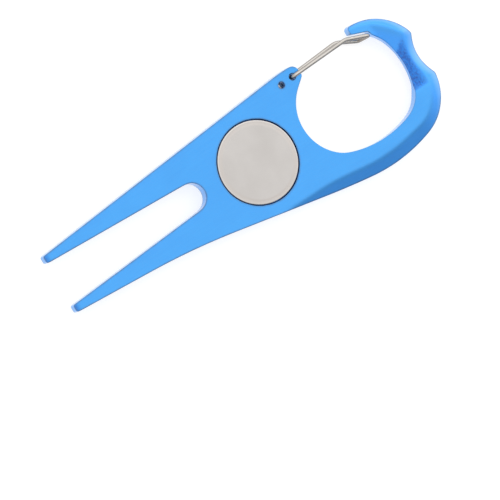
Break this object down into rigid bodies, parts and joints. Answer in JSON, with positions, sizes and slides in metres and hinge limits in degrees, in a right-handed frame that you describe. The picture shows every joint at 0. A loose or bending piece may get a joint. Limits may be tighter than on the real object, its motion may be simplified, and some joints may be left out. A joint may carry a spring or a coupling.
{
  "type": "divot repair tool",
  "caption": "Flat forked golf divot tool with a hook-shaped loop, sprung wire gate, club rest notch and a magnetic ball marker in a round pocket.",
  "frame": {"origin": "middle of the underside of the bounding box, with the tool lying flat, marker upwards", "axes": "+X from the prongs to the loop, +Y to the side with the wire gate, +Z out of the marker's face"},
  "size_m": [0.1304, 0.0402, 0.0068],
  "materials": {
    "anodised_plate": "satin blue anodised aluminium",
    "spring_wire": "bright drawn spring steel wire",
    "marker_steel": "satin nickel-plated steel",
    "magnet_nickel": "nickel-plated neodymium magnet"
  },
  "bodies": {
    "tool": {"tool_body": "anodised_plate", "magnet": "magnet_nickel"},
    "gate": {"wire_gate": "spring_wire"},
    "marker": {"ball_marker": "marker_steel"}
  },
  "joints": [
    {"name": "gate_hinge", "type": "hinge", "parent": "tool", "child": "gate", "pos_m": [0.02713, 0.01699, 0.0034], "axis": [0, 0, -1], "range_deg": [0, 30], "stiffness_Nm_per_rad": 0.02, "deforming": ["wire_gate"]},
    {"name": "marker_lift", "type": "slide", "parent": "tool", "child": "marker", "axis": [0, 0, 1], "range_m": [0, 0.01]}
  ]
}
